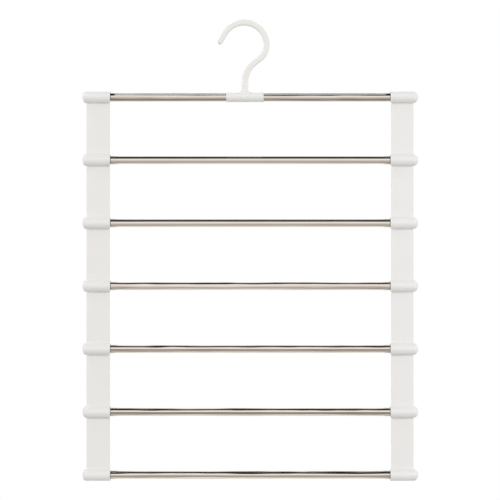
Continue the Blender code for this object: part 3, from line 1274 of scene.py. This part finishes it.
@dataclass(frozen=True)
class Hook:
    """Makes the hook with its sleeve.

    Args:
        sleeve_length: the sleeve's length.
        sleeve_edge: the radius of the sleeve's rims.
        bore_gap: the running gap between the sleeve and the tube.
        foot: the radius of the sweep from the stem into the sleeve.
        foot_depth_share: the share of that sweep that shows across the sleeve.
        foot_steps: the number of facets along that sweep.
        stem: the stem's radius.
        stem_run: the length of the straight stem.
        lower_bend: the radius of the bend to the right above it.
        middle_run: the length of the straight part between that bend and the next.
        upper_bend: the radius of the bend back into the bow.
        lean: the turn of each of those two bends, in degrees.
        curl: the bow's turn past the crown, in degrees.
        curl_end: the rod's radius at the end of the bow.
        tip_run: the length of the straight tip.
        tip: the rod's radius at its tip.
        fullness: the power that rounds the rod's section, 1 for an ellipse and less for a flatter front.
        crowding: how far the section's points crowd towards the middles of its sides, from 0 to 1.
        groove: the depth of the groove up the stem's faces.
        groove_width: the width of that groove.
        groove_shift: how far it lies to the left of the stem's middle.
        bead: the height of the lips on both sides of the groove.
        groove_spread: how steeply the groove's sides fall, as the sharpness of a bell curve.
        bead_place: how far a lip lies from the groove's middle, in half widths of the groove.
        bead_spread: how steeply the lips' sides fall.
        groove_end: how far up the rod the groove has faded out.
        tip_steps: the number of rings round the tip.
        tip_turn: how far those rings go round, in degrees, a little short of a point.
        sides: the number of facets round the rod and the sleeve.
        step_angle: the turn from one ring of the rod to the next, in degrees.
        rim_steps: the number of facets across the sleeve's rims.
        edge_break: the rounding of the sharp edges.
    """

    sleeve_length: float = 40 * MM
    sleeve_edge: float = 0.5 * MM
    bore_gap: float = RUNNING_GAP
    foot: float = 2.8 * MM
    foot_depth_share: float = 0.4
    foot_steps: int = 8
    stem: float = 3.75 * MM
    stem_run: float = 7.25 * MM
    lower_bend: float = 28 * MM
    middle_run: float = 7.2 * MM
    upper_bend: float = 18 * MM
    lean: float = 52.0
    curl: float = 61.0
    curl_end: float = 3 * MM
    tip_run: float = 9.5 * MM
    tip: float = 2.85 * MM
    fullness: float = 0.52
    crowding: float = 0.9
    groove: float = 0.45 * MM
    groove_width: float = 1.4 * MM
    groove_shift: float = 0.1 * MM
    bead: float = 0.1 * MM
    groove_spread: float = 1.5
    bead_place: float = 1.7
    bead_spread: float = 4.0
    groove_end: float = 38 * MM
    tip_steps: int = 8
    tip_turn: float = 86.0
    sides: int = 96
    step_angle: float = 4.0
    rim_steps: int = 4
    edge_break: EdgeBreak = EdgeBreak()

    def runs(self, bow: float, rod: float) -> tuple[list[Run], list[Run]]:
        """Gives the rod's stretches from the foot to the tip.

        Args:
            bow: the radius of the bow's centre line.
            rod: the rod's radius round the bow.

        Returns:
            The stretches up to the crown and those beyond it.
        """
        rise = [
            Run(self.stem_run, 0, 0, self.stem),
            Run(0, self.lower_bend, self.lean, rod),
            Run(self.middle_run, 0, 0, rod),
            Run(0, self.upper_bend, -self.lean, rod),
            Run(0, bow, -90, rod),
        ]
        return rise, [Run(0, bow, -self.curl, self.curl_end), Run(self.tip_run, 0, 0, self.tip)]

    def stations(self, start: Station, runs: Sequence[Run]) -> list[Station]:
        """Follows the rod.

        Args:
            start: the rod's foot.
            runs: its stretches.

        Returns:
            The stations along it, the foot included.
        """
        found = [start]
        for run in runs:
            first = found[-1]
            steps = max(2, round(abs(run.turn) / self.step_angle))
            bend = math.copysign(run.bend, run.turn)
            span = run.length + run.bend * math.radians(abs(run.turn))
            for step in range(1, steps + 1):
                share = step / steps
                angle = first.heading + math.radians(run.turn) * share
                ahead = run.length * share
                aside = bend * (math.cos(first.heading) - math.cos(angle))
                climb = bend * (math.sin(angle) - math.sin(first.heading))
                x = first.x + ahead * math.sin(first.heading) + aside
                z = first.z + ahead * math.cos(first.heading) + climb
                radius = first.radius + (run.radius - first.radius) * share
                found.append(Station(x, z, angle, radius, first.travel + span * share))
        return found

    def squared(self, part: float) -> float:
        """Moves a part of a unit direction outwards, which flattens the rod's front and back."""
        return math.copysign(abs(part) ** self.fullness, part)

    def ring(self, at: Station, half_width: float, half_depth: float) -> list[Point]:
        """Gives the ring of points round one station.

        Args:
            at: the station.
            half_width: the section's half width in the hook's plane.
            half_depth: its half depth.

        Returns:
            The ring's points, with the groove cut into the front and the back.
        """
        fade = max(0.0, 1 - at.travel / self.groove_end)
        fade = fade * fade * (3 - 2 * fade)
        points = []
        for side in range(self.sides):
            angle = math.tau * side / self.sides
            angle -= self.crowding * math.sin(4 * angle) / 4
            across = half_width * self.squared(math.cos(angle))
            depth = half_depth * self.squared(math.sin(angle))
            off = (across + self.groove_shift) / (self.groove_width / 2)
            dip = self.groove * math.exp(-(off**2) * self.groove_spread)
            lips = self.bead * math.exp(-((abs(off) - self.bead_place) ** 2) * self.bead_spread)
            depth -= math.copysign((dip - lips) * fade * abs(math.sin(angle)), depth)
            x = at.x + across * math.cos(at.heading)
            z = at.z - across * math.sin(at.heading)
            points.append((x, depth, z))
        return points

    def foot_rings(self, foot: Station, start: float) -> list[list[Point]]:
        """Gives the rings of the sweep from the sleeve up into the stem.

        Args:
            foot: the stem's foot.
            start: the height inside the sleeve at which the moulding's root begins.

        Returns:
            The rings, the root's first.
        """
        rings = []
        for step in range(self.foot_steps):
            turn = math.pi / 2 * step / self.foot_steps
            growth = self.foot * (1 - math.sin(turn))
            here = replace(foot, z=foot.z - self.foot * math.cos(turn))
            rings.append(self.ring(here, self.stem + growth, self.stem + growth * self.foot_depth_share))
        return [[(x, y, start) for x, y, _ in rings[0]], *rings]

    def tip_rings(self, last: Station) -> list[list[Point]]:
        """Gives the rings of the rounded tip.

        Args:
            last: the rod's last station.

        Returns:
            The rings.
        """
        rings = []
        for step in range(1, self.tip_steps + 1):
            turn = math.radians(self.tip_turn) * step / self.tip_steps
            along, radius = last.radius * math.sin(turn), last.radius * math.cos(turn)
            x = last.x + along * math.sin(last.heading)
            z = last.z + along * math.cos(last.heading)
            rings.append(self.ring(replace(last, x=x, z=z), radius, radius))
        return rings

    def sleeve(self, bar: Bar, x: float, radius: float) -> tuple[Mesh, Mesh]:
        """Makes the sleeve before its bore.

        Args:
            bar: the top tube.
            x: the sleeve's middle along X.
            radius: its outer radius.

        Returns:
            The sleeve and the bore's cutter.
        """
        half, edge = self.sleeve_length / 2, self.sleeve_edge
        left_rim = arc((edge - half, radius - edge), edge, 180, 90, self.rim_steps)
        right_rim = arc((half - edge, radius - edge), edge, 90, 0, self.rim_steps)
        body = turned("sleeve", [(-half, 0.0), *left_rim, *right_rim, (half, 0.0)], self.sides, closed=False)
        gap, reach = bar.radius + self.bore_gap, half + CUT_OVERRUN
        profile = [(-reach, 0.0), (-reach, gap), (reach, gap), (reach, 0.0)]
        bore = turned("bore", profile, self.sides, closed=False, phase=CUT_PHASE)
        for mesh in (body, bore):
            mesh.transform(Matrix.Translation((x, 0, bar.z)))
        return body, bore

    def make(self, bar: Bar, finish: Material) -> Object:
        """Builds the hook.

        Args:
            bar: the top tube, which the sleeve rides on.
            finish: the hook's plastic.

        Returns:
            The piece.
        """
        low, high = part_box("hook")
        sleeve_radius, rod = -low.y, high.z / 2
        foot_top = bar.z + sleeve_radius + self.foot
        rise, curl = self.runs(high.x - rod, rod)
        crown = self.stations(Station(0.0, foot_top, 0.0, self.stem, 0.0), rise)[-1]
        foot = Station(-crown.x, foot_top - (crown.z + rod - high.z), 0.0, self.stem, 0.0)
        LOG.info("hook: foot shifted by %.4f mm to meet the crown", (foot.z - foot_top) / MM)
        path = self.stations(foot, rise + curl)
        rings = self.foot_rings(foot, bar.z)
        rings += [self.ring(at, at.radius, at.radius) for at in path]
        rings += self.tip_rings(path[-1])
        body, bore = self.sleeve(bar, foot.x, sleeve_radius)
        moulding = self.edge_break.apply(combined(body, [lofted("rod", rings)], [bore]))
        return stand_for(moulding, "hook", "hook", finish)


# Studio


@dataclass(frozen=True)
class Lamp:
    """A round soft lamp that points at the hanger.

    Args:
        name: the lamp's name.
        way: the direction from the hanger's middle to the lamp.
        distance: the lamp's distance.
        size: its diameter.
        watts: its power.
        colour: its colour.
    """

    name: str
    way: Point
    distance: float
    size: float
    watts: float
    colour: str

    def hang(self, target: Vector) -> None:
        """Hangs the lamp in the studio.

        Args:
            target: the point that it shines at.
        """
        data = bpy.data.lights.new(self.name, "AREA")
        data.shape = "DISK"
        data.size = self.size
        data.energy = self.watts
        data.color = linear(self.colour)[:3]
        lamp = in_scene(self.name, data)
        lamp.location = target + Vector(self.way).normalized() * self.distance
        lamp.rotation_euler = (target - lamp.location).to_track_quat("-Z", "Y").to_euler()


@dataclass(frozen=True)
class Studio:
    """A plain white studio: a pale floor, soft light all round and a dark gap in the light overhead.

    A tube mirrors only a narrow ring of the studio, which runs from behind it, under it and before it to
    over it. The light in that ring is set for the steel, and the light beside it for the white plastic.

    Args:
        floor_drop: how far the floor lies below the hanger.
        floor_finish: the floor's sheet.
        floor_sides: the number of sides of its edge.
        camera_distance: the camera's distance from the hanger.
        view_width: the width that the picture takes in at the hanger.
        aim_x: the middle of the picture along X.
        aim_z: the middle of the picture in height.
        sensor: the camera's sensor width in its own millimetres.
        nearest: the least distance that the camera sees.
        farthest: the greatest distance that it sees.
        strength: the strength of the light all round.
        ring: the ring's light, from behind (-180 degrees) by below (-90), in front (0) and overhead (90)
            to behind again.
        ring_half: half the ring's width, as the part of a direction that points along X.
        ring_edge: the same at the end of the ring's soft edge.
        from_below: the level of the side light that comes from below.
        from_above: the level of the side light that comes from above.
        low: the upward part of the highest direction that counts as below.
        high: the upward part of the lowest direction that counts as above.
        from_behind: how much of the side light is left straight behind the hanger.
        lamps: the lamps.
    """

    floor_drop: float = 0.56
    floor_finish: MattVinyl = MattVinyl()
    floor_sides: int = 60
    camera_distance: float = 1.6
    view_width: float = 0.5363
    aim_x: float = 0.0062
    aim_z: float = -0.2407
    sensor: float = 36.0
    nearest: float = 0.05
    farthest: float = 60.0
    strength: float = 1.25
    ring: tuple[tuple[float, str], ...] = (
        (-180, "#FFFEFC"),
        (-128, "#FFFDFA"),
        (-112, "#E2DEDA"),
        (-98, "#C6C1BB"),
        (-84, "#928D87"),
        (-62, "#8A857E"),
        (-42, "#C0B9B0"),
        (-20, "#D0C9C0"),
        (-6, "#DDD7CF"),
        (6, "#F3EFEA"),
        (27, "#F8F5F1"),
        (44, "#ECE8E4"),
        (52, "#050504"),
        (108, "#050504"),
        (116, "#FDFCFA"),
        (180, "#FFFEFC"),
    )
    ring_half: float = 0.2
    ring_edge: float = 0.3
    from_below: float = 0.31
    from_above: float = 0.8
    low: float = -0.95
    high: float = 0.0
    from_behind: float = 0.75
    lamps: tuple[Lamp, ...] = (
        Lamp("spark_lamp", (-0.42, -0.22, 0.88), 1.6, 0.42, 2.1, "#FFFFFF"),
        Lamp("left_lamp", (-0.85, -0.45, 0.25), 1.6, 0.25, 2.2, "#FFFFFF"),
        Lamp("right_lamp", (0.8, -0.6, 0.1), 1.1, 0.5, 1.8, "#F4F8FF"),
    )

    def camera(self) -> None:
        """Puts the camera straight in front of the hanger."""
        data = bpy.data.cameras.new("camera")
        data.sensor_width = self.sensor
        data.lens = self.sensor * self.camera_distance / self.view_width
        data.clip_start = self.nearest
        data.clip_end = self.farthest
        camera = in_scene("camera", data)
        camera.location = (self.aim_x, -self.camera_distance, self.aim_z)
        camera.rotation_euler = (math.radians(90), 0, 0)
        bpy.context.scene.camera = camera

    def floor(self) -> None:
        """Lays the pale floor under the hanger, fading out into the white around it."""
        z = cad_low.z - self.floor_drop
        bm = bmesh.new()
        outline = arc((0.0, 0.0), self.floor_finish.faded, 0, 360, self.floor_sides)[:-1]
        bm.faces.new([bm.verts.new((x, y, z)) for x, y in outline])
        mesh = mesh_from("floor", bm)
        mesh.materials.append(self.floor_finish.material())
        floor = in_scene("floor", mesh)
        floor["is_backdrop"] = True

    def world(self) -> None:
        """Lights the studio all round, and shows the camera plain white."""
        world = bpy.data.worlds.new("studio")
        bpy.context.scene.world = world
        world.use_nodes = True
        tree = world.node_tree
        tree.nodes.clear()
        way = add_node(tree, "TexCoord").outputs["Generated"]
        parts = add_node(tree, "SeparateXYZ", {"Vector": way})
        aside = add_node(tree, "Math", {0: parts.outputs["X"]}, operation="ABSOLUTE")
        edge = {"Value": aside, "From Min": self.ring_half, "From Max": self.ring_edge}
        beyond = add_node(tree, "MapRange", edge, interpolation_type="SMOOTHSTEP")
        colours = {TONE_A: self.ring_light(tree, parts), TONE_B: self.side_light(tree, parts)}
        studio = add_node(tree, "Mix", {0: beyond, **colours}, data_type="RGBA")
        light = add_node(tree, "Background", {"Color": studio, "Strength": self.strength})
        white = add_node(tree, "Background", {"Color": grey(1.0), "Strength": 1.0})
        seen = add_node(tree, "LightPath").outputs["Is Camera Ray"]
        shown = add_node(tree, "MixShader", {0: seen, 1: light, 2: white})
        add_node(tree, "OutputWorld", {"Surface": shown})

    def ring_light(self, tree: NodeTree, parts: Node) -> Node:
        """Adds the light as it changes round the ring.

        Args:
            tree: the world's node tree.
            parts: the node with the parts of a direction along the axes.

        Returns:
            The node with the light's colour.
        """
        ahead = add_node(tree, "Math", {0: parts.outputs["Y"], 1: -1.0}, operation="MULTIPLY")
        rise = add_node(tree, "Math", {0: parts.outputs["Z"], 1: ahead}, operation="ARCTAN2")
        turn = add_node(tree, "MapRange", {"Value": rise, "From Min": -math.pi, "From Max": math.pi})
        stops = [((angle + 180) / 360, linear(colour)) for angle, colour in self.ring]
        return add_node(tree, "ValToRGB", {"Fac": turn}, stops)

    def side_light(self, tree: NodeTree, parts: Node) -> Node:
        """Adds the light beside the ring, dim from below and behind and bright from above.

        Args:
            tree: the world's node tree.
            parts: the node with the parts of a direction along the axes.

        Returns:
            The node with the light's level.
        """
        levels = {"To Min": self.from_below, "To Max": self.from_above}
        rise = {"Value": parts.outputs["Z"], "From Min": self.low, "From Max": self.high, **levels}
        height = add_node(tree, "MapRange", rise, interpolation_type="SMOOTHSTEP")
        depth = {"Value": parts.outputs["Y"], "To Min": 1.0, "To Max": self.from_behind}
        behind = add_node(tree, "MapRange", depth)
        return add_node(tree, "Math", {0: height, 1: behind}, operation="MULTIPLY")

    def set_up(self) -> None:
        """Builds the whole studio."""
        self.camera()
        self.floor()
        self.world()
        for lamp in self.lamps:
            lamp.hang(Vector((self.aim_x, 0, self.aim_z)))
        bpy.context.scene.view_settings.view_transform = "Standard"


def steels(top: Bar) -> list[Material]:
    """Makes the steel of each tube.

    Args:
        top: the top tube, which the sleeve slides on.

    Returns:
        The materials, from the top tube down.
    """
    mouths = (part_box("top_cap_left")[1].x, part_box("top_cap_right")[0].x)
    scuffs = tuple(top.z + top.radius * share for share in SCUFFED_SHARES)
    # The height below which the top tube's colour is darker.
    dark_underside = top.z + top.radius * DARKER_BELOW_SHARE
    worn = PolishedStainless("scuffed_stainless_tube", *STEEL, mouths, scuffs, dark_underside).material()
    even = PolishedStainless("even_stainless_tube", *STEEL, mouths, wave_height=EVEN_WAVES).material()
    plain = PolishedStainless("polished_stainless_tube", *STEEL, mouths).material()
    made = [worn, even, even, plain]
    # Tubes 5 to 7 each get a painted dark reflection along their fronts.
    for number, dark_band in enumerate(PAINTED_DARK_BANDS, len(made) + 1):
        steel = PolishedStainless(f"welded_stainless_tube_{number}", *STEEL, mouths, dark_band=dark_band)
        made.append(steel.material())
    return made


def main() -> None:
    """Builds the studio and every piece, and reports each."""
    logging.basicConfig(level=logging.INFO, format="%(name)s: %(message)s")
    Studio().set_up()

    bars = []
    while f"tube_{len(bars) + 1}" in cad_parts:
        bars.append(Bar.read(len(bars) + 1))
    top = bars[0]
    for bar, flat, steel in zip(bars, FLATS, steels(top)):
        SteelTube(flat=flat).make(bar, steel)

    link_plastic = MouldedPolypropylene("moulded_polypropylene_links", *PLASTIC).material()
    cap_plastic = MouldedPolypropylene("moulded_polypropylene_caps", *PLASTIC).material()
    hook_plastic = MouldedPolypropylene("moulded_polypropylene_hook", *HOOK_PLASTIC).material()
    low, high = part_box("top_cap_right")
    pitch = top.z - bars[1].z
    for side, (dome, *insets) in ENDS.items():
        barrel = Barrel(high.x - low.x, high.y, top.radius, dome)
        TopCap(barrel).make(side, top, cap_plastic)
        links = Link(barrel, pitch, *insets)
        for above, bar in zip(bars, bars[1:]):
            links.make(side, above, bar, bar is bars[-1], link_plastic)
    Hook().make(top, hook_plastic)

    low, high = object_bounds()


if __name__ == "__main__":
    main()
